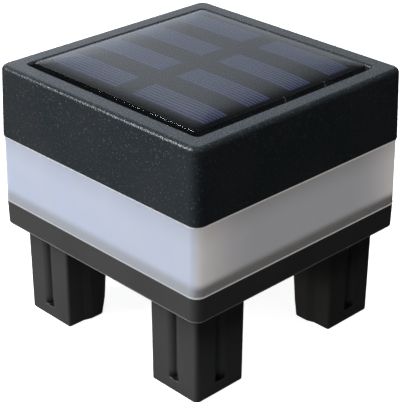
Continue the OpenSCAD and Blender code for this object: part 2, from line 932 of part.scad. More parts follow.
// From the tabs of the contact plates to the LED board
module battery_wires() {
    x = plate_x + plate_t / 2;
    y = battery_y + plate_w / 2 + tab_reach;
    z = battery_z + tab_z;
    xs = battery_solder_x;
    ys = battery_solder_y;
    color([0.12, 0.12, 0.12])
        for (s = [-1, 1])
            tube(smooth([[s * x, y, z], [s * x, y + 2, z], [s * (x - 1.6), y + 6, z - 0.4],
                [s * (xs + 5.2), ys - 0.6, z_parts + 2.2], [s * (xs + 2), ys, z_parts + 3.2],
                [s * xs, ys, z_parts + 2], [s * xs, ys, z_parts]], 3), wire_d, wire_sides);
}

// From the switch's terminals, beside the LED board, to its upper side
module switch_wires() {
    z_start = z_switch + switch_h + 2;
    color([0.85, 0.75, 0.2])
        for (s = [-1, 1])
            tube(smooth([[s * 1.25 + 1.25, 0, z_start], [s * 1.25 + 1.25, 0, z_start + 2],
                [s * 1.3 + 0.3, 6, z_start + 6], [s * 1.3, switch_wire_y, z_reflector - 2],
                [s * 1.3, switch_wire_y, z_led_board], [s * 1.3, switch_wire_y - 0.6, z_parts + 3],
                [s * 1.5, solder_y + 1.8, z_parts + 4.4], [s * 1.5, solder_y, z_parts + 2],
                [s * 1.5, solder_y, z_parts]], 3), wire_d, wire_sides);
}

cap_housing();
panel_tape();
panel_board();
solar_cells();
solder_beads();
panel_resin();
diffuser();
diffuser_seal();
base();
reflector();
led_board();
leds();
driver_chip();
inductor();
diode();
battery_cell();
battery_spring();
contact_plates();
housing_screws();
board_screws();
switch_frame();
switch_body();
switch_knob();
switch_screws();
panel_wires();
battery_wires();
switch_wires();
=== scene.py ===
import json
from math import atan2, cos, pi, radians, sin, tan

import bpy
from mathutils import Matrix, Vector


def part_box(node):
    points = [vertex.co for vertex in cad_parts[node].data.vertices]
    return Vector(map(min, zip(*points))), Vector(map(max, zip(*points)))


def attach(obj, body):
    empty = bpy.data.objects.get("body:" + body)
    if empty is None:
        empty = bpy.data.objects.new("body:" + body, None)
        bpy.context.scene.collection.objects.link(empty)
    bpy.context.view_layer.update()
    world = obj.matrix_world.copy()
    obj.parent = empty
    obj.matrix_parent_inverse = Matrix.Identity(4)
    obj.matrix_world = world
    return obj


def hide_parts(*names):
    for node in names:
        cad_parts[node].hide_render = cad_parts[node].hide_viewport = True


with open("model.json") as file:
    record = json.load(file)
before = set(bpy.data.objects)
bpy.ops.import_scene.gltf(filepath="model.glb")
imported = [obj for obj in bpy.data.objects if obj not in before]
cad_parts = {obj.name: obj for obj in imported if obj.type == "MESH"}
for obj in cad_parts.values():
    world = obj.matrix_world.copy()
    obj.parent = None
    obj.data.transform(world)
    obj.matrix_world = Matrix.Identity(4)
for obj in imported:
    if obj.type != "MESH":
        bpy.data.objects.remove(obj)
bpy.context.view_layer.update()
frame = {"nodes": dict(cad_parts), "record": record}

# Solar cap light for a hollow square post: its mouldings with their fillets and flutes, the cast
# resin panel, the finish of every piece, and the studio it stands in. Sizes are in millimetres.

MM = 0.001
LAMP = "lamp"


def cad_box(node):
    """Lowest and highest corner of a CAD node in millimetres."""
    low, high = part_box(node)
    return low / MM, high / MM


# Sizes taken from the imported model
BODY = cad_box("base")[1].x
CAP_TOP = cad_box("cap_housing")[1].z
PANEL = cad_box("panel_board")[1].x
BOARD_TOP = cad_box("panel_board")[1].z
RESIN_TOP = cad_box("panel_resin")[1].z
TONGUE_Z, COLLAR_Z = (corner.z for corner in cad_box("diffuser"))
UPSTAND_Z = cad_box("base")[1].z

# Levels, from the ends of the legs up
FLOOR_Z = 24.0
FLOOR_TOP = FLOOR_Z + 2.2
SEAL_Z = FLOOR_Z + 3.8
BAND_Z = FLOOR_Z + 6.0
CAP_Z = BAND_Z + 17.0
RECESS_Z = CAP_TOP - 2.5
CEILING_Z = RECESS_Z - 1.8

# Half widths and places, from the lamp's axis. A moulding's level sweep closes in a flat middle
MIDDLE = 8.0
CAP_WALL = 31.0
RECESS = 28.0
SCREW = 13.6
BOARD_SCREW = 13.0
SWITCH_SCREW = 7.5
RIB_HALF = 0.6

# Legs and their flutes
LEG_OUT = 29.8
LEG_IN = 14.1
LEG_STEP = 0.65
LEG_WALL = 1.6
FLUTE_AT = 22.275
FLUTE_D = 1.2
FLUTE_FOOT = 3.0
FLUTE_RUN_OUT = 0.4


# Outlines and skins ------------------------------------------------------------------------------

def arc_at(before, here, after, radius, steps):
    """Points of the arc that rounds the corner between two straight stretches."""
    back, ahead = (before - here).normalized(), (after - here).normalized()
    half = back.angle(ahead) / 2
    reach = radius / tan(half)
    centre = here + (back + ahead).normalized() * (radius / sin(half))
    start, end = here + back * reach - centre, here + ahead * reach - centre
    turn = atan2(start.x * end.y - start.y * end.x, start.dot(end))
    return [centre + Matrix.Rotation(turn * k / steps, 2) @ start for k in range(steps + 1)]


def rounded(corners, closed=True, steps=6):
    """Outline through corners of (x, y, radius, *more). Each point keeps its corner's number."""
    flat = [Vector(c[:2]) for c in corners]
    path = []
    for k, here in enumerate(flat):
        open_end = not closed and k in (0, len(flat) - 1)
        if open_end or corners[k][2] == 0:
            path.append((here, k))
            continue
        arc = arc_at(flat[k - 1], here, flat[(k + 1) % len(flat)], corners[k][2], steps)
        path += [(point, k) for point in arc]
    return path


def square_ring(half, corner, z, steps=10):
    """One level of a square with round corners, counter-clockwise."""
    ring = []
    for quarter in range(4):
        turn = quarter * pi / 2
        x = (half - corner) * (cos(turn) - sin(turn))
        y = (half - corner) * (cos(turn) + sin(turn))
        for k in range(steps + 1):
            angle = turn + k / steps * pi / 2
            ring.append((x + corner * cos(angle), y + corner * sin(angle), z))
    return ring


def round_ring(radius, z, x=0.0, y=0.0, steps=40):
    """One level of a round shape, counter-clockwise."""
    angles = [2 * pi * k / steps for k in range(steps)]
    return [(x + radius * cos(a), y + radius * sin(a), z) for a in angles]


def skin(name, rings, loop=False):
    """Object whose surface runs through rings of points, closed by its ends or round in a loop."""
    n = len(rings[0])
    points = [Vector(p) * MM for ring in rings for p in ring]
    faces = []
    for r in range(len(rings) if loop else len(rings) - 1):
        a, b = r * n, (r + 1) % len(rings) * n
        faces += [(a + k, a + (k + 1) % n, b + (k + 1) % n, b + k) for k in range(n)]
    if not loop:
        last = (len(rings) - 1) * n
        faces += [tuple(range(n))[::-1], tuple(range(last, last + n))]
    mesh = bpy.data.meshes.new(name)
    mesh.from_pydata(points, [], faces)
    made = bpy.data.objects.new(name, mesh)
    bpy.context.scene.collection.objects.link(made)
    return made


def square_sweep(name, profile, loop=False):
    """Square moulding from a profile of (half width, level, fillet, corner radius)."""
    least_corner = 0.3
    rings = []
    for point, k in rounded(profile, closed=loop):
        half, _, _, corner = profile[k]
        rings.append(square_ring(point.x, max(corner + point.x - half, least_corner), point.y))
    return skin(name, rings, loop)


def lathe(profile, x, y, name="turned"):
    """Round solid about an upright axis, from (radius, level) upwards."""
    return skin(name, [round_ring(r, z, x, y) for r, z in profile])


def block(x, y, z, name="block"):
    """Box between two values on each axis."""
    ring = [(x[0], y[0]), (x[1], y[0]), (x[1], y[1]), (x[0], y[1])]
    return skin(name, [[(*p, level) for p in ring] for level in z])


def four(*size):
    """The four places at plus and minus each value."""
    x, y = size if len(size) == 2 else size * 2
    return [(x, y), (-x, y), (-x, -y), (x, -y)]


def combine(solid, others, operation):
    """Adds other solids to this one, or cuts them out of it, and removes them."""
    group = bpy.data.collections.new("operands")
    for other in others:
        group.objects.link(other)
    step = solid.modifiers.new("combine", "BOOLEAN")
    step.operand_type = "COLLECTION"
    step.collection = group
    step.operation = operation
    step.solver = "EXACT"
    graph = bpy.context.evaluated_depsgraph_get()
    mesh = bpy.data.meshes.new_from_object(solid.evaluated_get(graph))
    solid.modifiers.clear()
    solid.data = mesh
    for other in others:
        bpy.data.objects.remove(other)
    bpy.data.collections.remove(group)


def finish_shading(piece, angle=32):
    """Smooth shading over the fillets, with flat faces kept flat."""
    piece.data.shade_smooth()
    piece.data.set_sharp_from_angle(angle=radians(angle))
    weigh = piece.modifiers.new("flat faces stay flat", "WEIGHTED_NORMAL")
    weigh.keep_sharp = True


def seat(piece, slot, finish, *nodes):
    """Gives a piece its finish, lets it ride on the lamp and stand for its CAD nodes. The slot
    argument is not used.
    """
    piece.data.materials.clear()
    piece.data.materials.append(finish)
    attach(piece, LAMP)
    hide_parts(*nodes)


# Node trees --------------------------------------------------------------------------------------

def add(tree, kind, inputs=None, **settings):
    """Adds a node. Inputs maps a socket to a value or to another node's output."""
    made = tree.nodes.new(kind)
    for name, value in settings.items():
        setattr(made, name, value)
    for socket, value in (inputs or {}).items():
        if isinstance(value, bpy.types.NodeSocket):
            tree.links.new(value, made.inputs[socket])
        else:
            made.inputs[socket].default_value = value
    return made


def effect(name, inputs, outputs):
    """Empty shader node group with named sockets, and its two end nodes."""
    tree = bpy.data.node_groups.new(name, "ShaderNodeTree")
    for label, default in inputs.items():
        kind = "NodeSocketColor" if isinstance(default, tuple) else "NodeSocketFloat"
        tree.interface.new_socket(label, in_out="INPUT", socket_type=kind).default_value = default
    for label, kind in outputs.items():
        tree.interface.new_socket(label, in_out="OUTPUT", socket_type=f"NodeSocket{kind}")
    return tree, tree.nodes.new("NodeGroupInput").outputs, tree.nodes.new("NodeGroupOutput").inputs


def place(tree, group, **inputs):
    """Puts an effect in a material with its own values."""
    named = {label.replace("_", " "): value for label, value in inputs.items()}
    return add(tree, "ShaderNodeGroup", named, node_tree=group).outputs


def place_on_object(tree):
    """Position on the piece, in metres of the shared frame."""
    return add(tree, "ShaderNodeTexCoord").outputs["Object"]


def height_on_object(tree):
    """Level on the piece, in metres of the shared frame."""
    return add(tree, "ShaderNodeSeparateXYZ", {"Vector": place_on_object(tree)}).outputs["Z"]


def noise(tree, at, scale, detail):
    """Soft noise at a place."""
    return add(tree, "ShaderNodeTexNoise", {
        "Vector": at, "Scale": scale, "Detail": detail}).outputs["Fac"]


def ramp(tree, value, low, high, to_low=0.0, to_high=1.0, smooth=True):
    """Value taken from one range to another."""
    return add(tree, "ShaderNodeMapRange", {
        "Value": value, "From Min": low, "From Max": high, "To Min": to_low, "To Max": to_high},
        interpolation_type="SMOOTHSTEP" if smooth else "LINEAR").outputs["Result"]


def blend(tree, factor, a, b, kind="MIX"):
    """Mix of two colours by a factor."""
    made = add(tree, "ShaderNodeMix", data_type="RGBA", blend_type=kind)
    for socket, value in ((0, factor), (6, a), (7, b)):
        if isinstance(value, bpy.types.NodeSocket):
            tree.links.new(value, made.inputs[socket])
        else:
            made.inputs[socket].default_value = value if socket == 0 else (*value[:3], 1.0)
    return made.outputs[2]


def maths(tree, operation, a, b=0.0):
    """Result of one sum on one or two values."""
    return add(tree, "ShaderNodeMath", {0: a, 1: b}, operation=operation).outputs[0]


def between(tree, value, rise, fall):
    """Mask that comes up over one stretch and goes down over another, both in millimetres."""
    up = ramp(tree, value, rise[0] * MM, rise[1] * MM)
    down = ramp(tree, value, fall[0] * MM, fall[1] * MM, 1.0, 0.0)
    return maths(tree, "MULTIPLY", up, down)


def grey(level):
    """Colour with the same value in all three channels."""
    return (level, level, level)


def spark_grain():
    """Pitted surface of a spark-eroded mould, with flecks that stand out and a slow drift."""
    tree, given, out = effect(
        "spark grain", {"Grain": 2600.0, "Flecks": 0.5},
        {"Height": "Float", "Fleck": "Float", "Drift": "Float"})
    at = place_on_object(tree)
    pits = add(tree, "ShaderNodeTexVoronoi", {"Vector": at, "Scale": given["Grain"]},
               feature="SMOOTH_F1").outputs["Distance"]
    fine = noise(tree, at, given["Grain"], 3.0)
    tree.links.new(maths(tree, "ADD", pits, fine), out["Height"])
    flecks = noise(tree, at, maths(tree, "MULTIPLY", given["Grain"], 0.7), 1.0)
    fleck = ramp(tree, flecks, 0.58, 0.78)
    tree.links.new(maths(tree, "MULTIPLY", fleck, given["Flecks"]), out["Fleck"])
    tree.links.new(ramp(tree, noise(tree, at, 55.0, 2.0), 0.35, 0.65), out["Drift"])
    return tree


def fine_drift():
    """Slow and quick change of tone over a surface."""
    tree, given, out = effect(
        "fine drift", {"Slow": 60.0, "Quick": 900.0}, {"Slow": "Float", "Quick": "Float"})
    at = place_on_object(tree)
    for label in ("Slow", "Quick"):
        tree.links.new(ramp(tree, noise(tree, at, given[label], 3.0), 0.3, 0.7), out[label])
    return tree


GRAIN = spark_grain()
DRIFT = fine_drift()


def finish(name, **sockets):
    """New material and its Principled shader, with the values that hold all over it."""
    made = bpy.data.materials.new(name)
    made.use_nodes = True
    shader = made.node_tree.nodes["Principled BSDF"]
    for label, value in sockets.items():
        shader.inputs[label.replace("_", " ")].default_value = value
    return made, made.node_tree, shader.inputs


def bump(tree, height, strength, distance):
    """Normal of a surface raised by a height."""
    return add(tree, "ShaderNodeBump", {
        "Height": height, "Strength": strength, "Distance": distance}).outputs["Normal"]


def moulded(name, dark, light, fleck, grain, flecks, roughness, depth, painted_light_z=0.0, rubbed_z=0.0):
    """Black moulded plastic with the texture of its mould. It may carry a painted highlight along one
    edge and painted shade on the ledges that close its flutes, or be rubbed smoother above a level,
    and most of all on the edge there."""
    made, tree, shader = finish(name)
    texture = place(tree, GRAIN, Grain=grain, Flecks=flecks)
    height = height_on_object(tree)
    tone = blend(tree, texture["Drift"], dark, light)
    colour = blend(tree, texture["Fleck"], tone, fleck)
    if painted_light_z:
        # Painted shade on the flute ends, and a painted highlight line along the skirt's lower edge.
        painted_shade, pale = grey(0.004), grey(0.22)
        colour = blend(tree, flute_end_shade(tree), colour, painted_shade)
        line = between(tree, height, (painted_light_z, painted_light_z + 0.05), (painted_light_z + 0.35, painted_light_z + 0.45))
        colour = blend(tree, line, colour, pale)
    tree.links.new(colour, shader["Base Color"])
    spread = 0.06
    rough = ramp(tree, texture["Height"], 0.2, 1.2, roughness + spread, roughness - spread)
    if rubbed_z:
        on_edge, back_on_flat = 0.2, 0.08
        edge = ramp(tree, height, rubbed_z * MM, (rubbed_z + 0.4) * MM, 0, on_edge)
        flat = ramp(tree, height, (rubbed_z + 1.0) * MM, (rubbed_z + 1.3) * MM, 0, back_on_flat)
        rough = maths(tree, "SUBTRACT", rough, maths(tree, "SUBTRACT", edge, flat))
    tree.links.new(rough, shader["Roughness"])
    tree.links.new(bump(tree, texture["Height"], 0.5, depth), shader["Normal"])
    return made


def flute_end_shade(tree):
    """Mask for painted shade on the ledge that closes each flute above the foot of its leg."""
    at = add(tree, "ShaderNodeSeparateXYZ", {"Vector": place_on_object(tree)}).outputs
    x, y = (maths(tree, "ABSOLUTE", at[axis]) for axis in "XY")
    off = maths(tree, "SUBTRACT", maths(tree, "MINIMUM", x, y), FLUTE_AT * MM)
    in_width = ramp(tree, maths(tree, "ABSOLUTE", off), 1.3 * MM, 1.8 * MM, 1, 0)
    sunk = ramp(tree, maths(tree, "MAXIMUM", x, y), (LEG_OUT - 0.25) * MM, (LEG_OUT - 0.12) * MM, 1, 0)
    in_height = between(tree, at["Z"], (FLUTE_FOOT - 0.1, FLUTE_FOOT),
                        (FLUTE_FOOT + FLUTE_RUN_OUT, FLUTE_FOOT + 2.5))
    return maths(tree, "MULTIPLY", maths(tree, "MULTIPLY", in_width, sunk), in_height)


def toned(name, dark, light, slow=60.0, quick=900.0, depth=0.00001, roughness=0.5, **sockets):
    """Plain finish whose colour and gloss change a little over the surface."""
    made, tree, shader = finish(name, **sockets)
    waves = place(tree, DRIFT, Slow=slow, Quick=quick)
    tree.links.new(blend(tree, waves["Slow"], dark, light), shader["Base Color"])
    spread = 0.05
    tree.links.new(ramp(tree, waves["Quick"], 0.0, 1.0, roughness - spread, roughness + spread),
                   shader["Roughness"])
    tree.links.new(bump(tree, waves["Quick"], 0.3, depth), shader["Normal"])
    return made


def milky_band():
    """Milky plastic that light goes into and comes out of. It has painted shade where the base's
    upstand backs it and towards the cap's edge, and a painted glow in its emission, brightest along
    its two lips and towards the corners of its shaded side."""
    made, tree, shader = finish(
        "milky band", Subsurface_Weight=0.85, Subsurface_Radius=(1.0, 1.0, 1.0),
        Subsurface_Scale=0.003, IOR=1.49, Emission_Strength=1.0)
    waves = place(tree, DRIFT, Slow=70.0, Quick=1500.0)
    at = add(tree, "ShaderNodeSeparateXYZ", {"Vector": place_on_object(tree)}).outputs
    # Painted shade: duller where the base's upstand backs the band, and towards the cap's edge.
    clear_of_upstand_shade = ramp(tree, at["Z"], (UPSTAND_Z - 1.8) * MM, (UPSTAND_Z + 0.5) * MM)
    unshaded_share = maths(tree, "MULTIPLY", clear_of_upstand_shade, ramp(
        tree, at["Z"], (CAP_Z - 6.5) * MM, CAP_Z * MM, 1.0, 0.7))
    # Painted highlights along the band's two lips, in its emission.
    lip_highlight = maths(tree, "ADD", ramp(tree, at["Z"], (BAND_Z + 0.3) * MM, (BAND_Z + 0.5) * MM, 1, 0),
                 ramp(tree, at["Z"], (CAP_Z - 0.45) * MM, (CAP_Z - 0.25) * MM))
    x, y = (maths(tree, "ABSOLUTE", at[axis]) for axis in "XY")
    across = maths(tree, "MINIMUM", x, y)
    # Painted glow towards the corners of the band's shaded faces.
    shaded_side = ramp(tree, x, (BODY - 2) * MM, (BODY - 0.4) * MM)
    corner = maths(tree, "POWER", ramp(tree, across, 15 * MM, BODY * MM, smooth=False), 2.0)
    corner = maths(tree, "MULTIPLY", corner, maths(tree, "MULTIPLY", unshaded_share, shaded_side))
    milk = blend(tree, waves["Slow"], (0.375, 0.43, 0.56), (0.40, 0.44, 0.55))
    milk_in_painted_shade = (0.36, 0.38, 0.43)
    tree.links.new(blend(tree, unshaded_share, milk_in_painted_shade, milk), shader["Base Color"])
    # Emission is a painted glow standing in for light that comes through from inside the lamp.
    glow_in_painted_shade, glow_open, glow_corner, glow_rims = (
        (0.038, 0.031, 0.02), (0.16, 0.147, 0.134), (0.35, 0.315, 0.285), (0.27, 0.25, 0.23))
    glow = blend(tree, unshaded_share, glow_in_painted_shade, glow_open)
    glow = blend(tree, corner, glow, glow_corner)
    tree.links.new(blend(tree, lip_highlight, glow, glow_rims), shader["Emission Color"])
    tree.links.new(ramp(tree, waves["Quick"], 0.0, 1.0, 0.42, 0.5), shader["Roughness"])
    tree.links.new(bump(tree, waves["Quick"], 0.1, 0.00001), shader["Normal"])
    return made


def clear_resin():
    """Clear cast resin, glossy with a slight ripple. Light on its way to the cells goes straight
    through it."""
    made, tree, shader = finish(
        "clear resin", Base_Color=(0.95, 0.97, 1.0, 1.0), Transmission_Weight=1.0, IOR=1.5)
    waves = place(tree, DRIFT, Slow=40.0, Quick=60.0)
    tree.links.new(ramp(tree, waves["Slow"], 0.0, 1.0, 0.03, 0.055), shader["Roughness"])
    tree.links.new(bump(tree, waves["Quick"], 0.005, 0.0001), shader["Normal"])
    path = add(tree, "ShaderNodeLightPath").outputs
    lit_through = maths(tree, "MAXIMUM", path["Is Shadow Ray"], path["Is Diffuse Ray"])
    through = add(tree, "ShaderNodeBsdfTransparent")
    glass = tree.nodes["Principled BSDF"].outputs[0]
    mixed = add(tree, "ShaderNodeMixShader", {0: lit_through, 1: glass, 2: through.outputs[0]})
    tree.links.new(mixed.outputs[0], tree.nodes["Material Output"].inputs["Surface"])
    return made


FINISHES = {
    "cap_plastic": moulded("cap plastic", (0.018, 0.024, 0.027), (0.026, 0.028, 0.031),
                           (0.078, 0.078, 0.076), grain=3000.0, flecks=1.0, roughness=0.42,
                           depth=0.00011, rubbed_z=CAP_TOP - 1.3),
    # The base carries a painted highlight along its skirt's lower edge and painted shade at its flute
    # ends.
    "base_plastic": moulded("base plastic", (0.049, 0.048, 0.045), (0.057, 0.056, 0.052),
                            (0.09, 0.09, 0.088), grain=3000.0, flecks=0.3, roughness=0.5,
                            depth=0.00003, painted_light_z=FLOOR_Z),
    "diffuser_plastic": milky_band(),
    "clear_resin": clear_resin(),
    "silicon": toned("silicon", (0.006, 0.009, 0.026), (0.009, 0.012, 0.034), slow=300.0,
                     quick=2000.0, roughness=0.3, Specular_IOR_Level=0.05),
    "solder": toned("solder", grey(0.03), grey(0.05), roughness=0.6, Metallic=1.0),
    "panel_laminate": toned("panel laminate", grey(0.003), grey(0.005), Specular_IOR_Level=0.0),
    "foam_tape": toned("foam tape", (0.7, 0.7, 0.68), (0.82, 0.82, 0.8), quick=4000.0,
                       depth=0.0001, roughness=0.9),
    "seal_foam": toned("seal foam", grey(0.05), grey(0.09), quick=4000.0, depth=0.0001,
                       roughness=0.9),
    "white_plastic": toned("white plastic", (0.82, 0.82, 0.81), (0.88, 0.88, 0.87),
                           roughness=0.45),
    "circuit_board": toned("circuit board", (0.02, 0.12, 0.05), (0.03, 0.16, 0.07),
                           quick=1600.0, roughness=0.35),
    "led_lens": toned("LED lens", (0.85, 0.72, 0.25), (0.9, 0.78, 0.3), roughness=0.3),
    "component_black": toned("component black", grey(0.02), grey(0.035), quick=3000.0),
    "battery_sleeve": toned("battery sleeve", (0.03, 0.2, 0.08), (0.05, 0.26, 0.11),
                            roughness=0.3),
    "nickel_steel": toned("nickel steel", (0.62, 0.6, 0.56), (0.72, 0.7, 0.66), quick=2500.0,
                          roughness=0.3, Metallic=1.0),
    "screw_steel": toned("screw steel", (0.5, 0.5, 0.49), (0.62, 0.62, 0.61), quick=2500.0,
                         roughness=0.35, Metallic=1.0),
    "phenolic": toned("phenolic", (0.06, 0.04, 0.03), (0.1, 0.07, 0.05), roughness=0.45),
    "knob_plastic": toned("knob plastic", grey(0.012), grey(0.02), roughness=0.4),
    "wire_red": toned("wire red", (0.45, 0.03, 0.02), (0.55, 0.05, 0.03), roughness=0.45),
    "wire_black": toned("wire black", grey(0.015), grey(0.03), roughness=0.45),
    "wire_yellow": toned("wire yellow", (0.6, 0.45, 0.03), (0.7, 0.55, 0.05), roughness=0.45),
}


# Cap ---------------------------------------------------------------------------------------------

def cap_moulding():
    """Cap with its recess, rounded upper edge, posts, cradle and ribs."""
    corner, taper, edge_r, rim_r = 2.6, 0.5, 1.3, 0.8
    shell = square_sweep("cap_moulding", [
        (MIDDLE, CEILING_Z, 0, 1), (CAP_WALL, CEILING_Z, 0.6, 2), (CAP_WALL, CAP_Z, 0.2, 2),
        (BODY, CAP_Z, 0.3, corner), (BODY - taper, CAP_TOP, edge_r, corner),
        (RECESS, CAP_TOP, rim_r, rim_r), (RECESS, RECESS_Z, 0.15, rim_r),
        (MIDDLE, RECESS_Z, 0, rim_r)])
    embed = CEILING_Z + 0.4
    post_r, post_low, screw_bore, screw_deep = 3.2, 27.8, 1.3, 8
    board_post_r, board_post_low, board_bore = 2.3, 52.7, 1.0
    posts = [lathe([(post_r - 0.2, post_low), (post_r, post_low + 0.2), (post_r, embed)], x, y)
             for x, y in four(SCREW)]
    posts += [lathe([(board_post_r, board_post_low), (board_post_r, embed)], x, 0)
              for x in (-BOARD_SCREW, BOARD_SCREW)]
    gusset_near, gusset_far, gusset_low = 16.3, 31.2, CEILING_Z - 3
    gussets = [block(sorted((s * gusset_near, s * gusset_far)),
                     (t * SCREW - RIB_HALF, t * SCREW + RIB_HALF),
                     (gusset_low, embed)) for s in (-1, 1) for t in (-1, 1)]
    combine(shell, posts + gussets + stop_ribs(embed) + cradle(embed), "UNION")
    bores = [lathe([(screw_bore, post_low - 1), (screw_bore, post_low + screw_deep)], x, y)
             for x, y in four(SCREW)]
    bores += [lathe([(board_bore, 52), (board_bore, 57)], x, 0)
              for x in (-BOARD_SCREW, BOARD_SCREW)]
    wire_hole_r, wire_hole_y = 2.5, 20
    bores.append(lathe([(wire_hole_r, CEILING_Z - 1), (wire_hole_r, RECESS_Z + 1)], 0, wire_hole_y))
    combine(shell, bores, "DIFFERENCE")
    return shell


def stop_ribs(top):
    """Two ribs down each wall, over the edge of the reflector."""
    low, rib_at, depth_in = 50.9, 18, 1.2
    ribs = []
    for along in (-rib_at, rib_at):
        for side in (-1, 1):
            depth = sorted((side * (CAP_WALL - depth_in), side * (CAP_WALL + 0.2)))
            width = (along - RIB_HALF, along + RIB_HALF)
            ribs.append(block(depth, width, (low, top)))
            ribs.append(block(width, depth, (low, top)))
    return ribs


def cradle(top):
    """Saddles over the battery and a pocket for the contact plate at each of its ends."""
    (x0, y0, z0), (x1, y1, z1) = cad_box("battery_cell")
    y, z, radius = (y0 + y1) / 2, (z0 + z1) / 2, (y1 - y0) / 2
    wall, play, half_t, steps = 1, 0.15, 0.75, 24
    pieces = []
    for share in (0.25, 0.75):
        x = x0 + (x1 - x0) * share
        turns = [pi * k / steps for k in range(steps + 1)]
        outline = [(-radius - wall, top), (-radius - wall, z)]
        outline += [(-(radius + play) * cos(a), z + (radius + play) * sin(a)) for a in turns]
        outline += [(radius + wall, z), (radius + wall, top)]
        pieces.append(skin("saddle", [[(level, y + across, up) for across, up in outline]
                                      for level in (x - half_t, x + half_t)]))
    plate = cad_box("contact_plates")[1].x
    backing_t, backing_half, backing_low, cheek_at = 1.5, 6.2, 51.05, 5.45
    for side in (-1, 1):
        pieces.append(block(sorted((side * plate, side * (plate + backing_t))),
                            (y - backing_half, y + backing_half), (backing_low, top)))
        for cheek in (-cheek_at, cheek_at):
            pieces.append(block(sorted((side * (plate - 1.4), side * (plate + 0.5))),
                                (y + cheek - half_t, y + cheek + half_t), (z + 1, top)))
    return pieces


# Solar panel -------------------------------------------------------------------------------------

def resin_pillow():
    """Clear casting over the cells: round edge, then a slope that flattens into a crown."""
    edge_z, edge_r, edge_steps, corner_steps = CAP_TOP + 0.4, 0.45, 8, 14
    crown, crown_power, crown_levels, crowding = RESIN_TOP - edge_z, 6, 44, 1.5
    half, corner, corner_growth = PANEL - 0.02, 1.6, 10
    rings = [square_ring(half, corner, BOARD_TOP - 0.08, corner_steps)]
    for k in range(edge_steps + 1):
        angle = k / edge_steps * pi / 2
        inset = edge_r * (1 - cos(angle))
        level = edge_z - edge_r * (1 - sin(angle))
        rings.append(square_ring(half - inset, corner, level, corner_steps))
    for k in range(1, crown_levels):
        share = (k / crown_levels) ** crowding
        width = (half - edge_r) * (1 - share)
        rise = crown * (1 - (1 - share) ** crown_power)
        rounding = min(corner + share * corner_growth, width)
        rings.append(square_ring(width, rounding, edge_z + rise, corner_steps))
    return skin("resin_pillow", rings)


def wafers():
    """Eight cells with bevelled edges, and the fine lines of metal printed along them."""
    cells, lines = [], []
    low, high = cad_box("solar_cells")
    length, width, row_count = 22.4, 7.0, 4
    bevel_low, bevel_top, bevel_in = 0.17, 0.25, 0.06
    lines_each, line_half, line_margin, line_low, line_top = 7, 0.15, 0.3, 0.2, 0.28
    columns = (low.x, high.x - length)
    rows = [low.y + (high.y - low.y - width) * j / (row_count - 1) for j in range(row_count)]
    for x in columns:
        for y in rows:
            ring = [(x, y), (x + length, y), (x + length, y + width), (x, y + width)]
            middle = Vector((x + length / 2, y + width / 2))
            levels = []
            for inset, z in ((0, 0), (0, bevel_low), (bevel_in, bevel_top)):
                shrink = 1 - 2 * inset / width
                levels.append([(*(middle + (Vector(p) - middle) * shrink), BOARD_TOP + z)
                               for p in ring])
            cells.append(skin("wafer", levels))
            for k in range(lines_each):
                centre = y + width * (k + 0.5) / lines_each
                lines.append(block((x + line_margin, x + length - line_margin),
                                   (centre - line_half, centre + line_half),
                                   (BOARD_TOP + line_low, BOARD_TOP + line_top)))
    return joined(cells, "wafers"), joined(lines, "printed_lines")


def joined(parts, name):
    """One object from several."""
    with bpy.context.temp_override(active_object=parts[0], selected_editable_objects=parts):
        bpy.ops.object.join()
    parts[0].name = parts[0].data.name = name
    return parts[0]


def solder_domes():
    """Two small domes of solder beside the outer cells."""
    low, high = cad_box("solder_beads")
    x, radius, steps = (low.x + high.x) / 2, (high.x - low.x) / 2, 8
    profile = [(radius * cos(a), BOARD_TOP + (high.z - BOARD_TOP) * sin(a))
               for a in (pi / 2 * k / steps for k in range(steps))]
    domes = [lathe(profile, x, y) for y in (low.y + radius, high.y - radius)]
    return joined(domes, "solder_domes")


# Light band --------------------------------------------------------------------------------------

def light_band():
    """Milky band with a fine lip along both edges, its tongue below and its collar above."""
    tongue_out, wall_in, collar_out, collar_in, collar_foot = 31.95, 31.5, 30.85, 29.65, CAP_Z - 2.2
    corner, lower, upper = 2.4, BODY, BODY - 0.18
    return square_sweep("light_band", [
        (tongue_out, TONGUE_Z, 0.15, 2), (tongue_out, BAND_Z, 0, 2), (lower, BAND_Z, 0.12, corner),
        (lower, BAND_Z + 0.4, 0.1, corner), (lower - 0.06, BAND_Z + 0.5, 0, corner),
        (BODY - 0.26, CAP_Z - 0.5, 0, corner), (upper, CAP_Z - 0.4, 0.1, corner),
        (upper, CAP_Z, 0.12, corner), (collar_out, CAP_Z, 0, 2), (collar_out, COLLAR_Z, 0.2, 2),
        (collar_in, COLLAR_Z, 0.2, 1), (collar_in, collar_foot, 0.2, 1),
        (wall_in, collar_foot, 0.4, 2), (wall_in, TONGUE_Z, 0.1, 2)], loop=True)


# Base --------------------------------------------------------------------------------------------

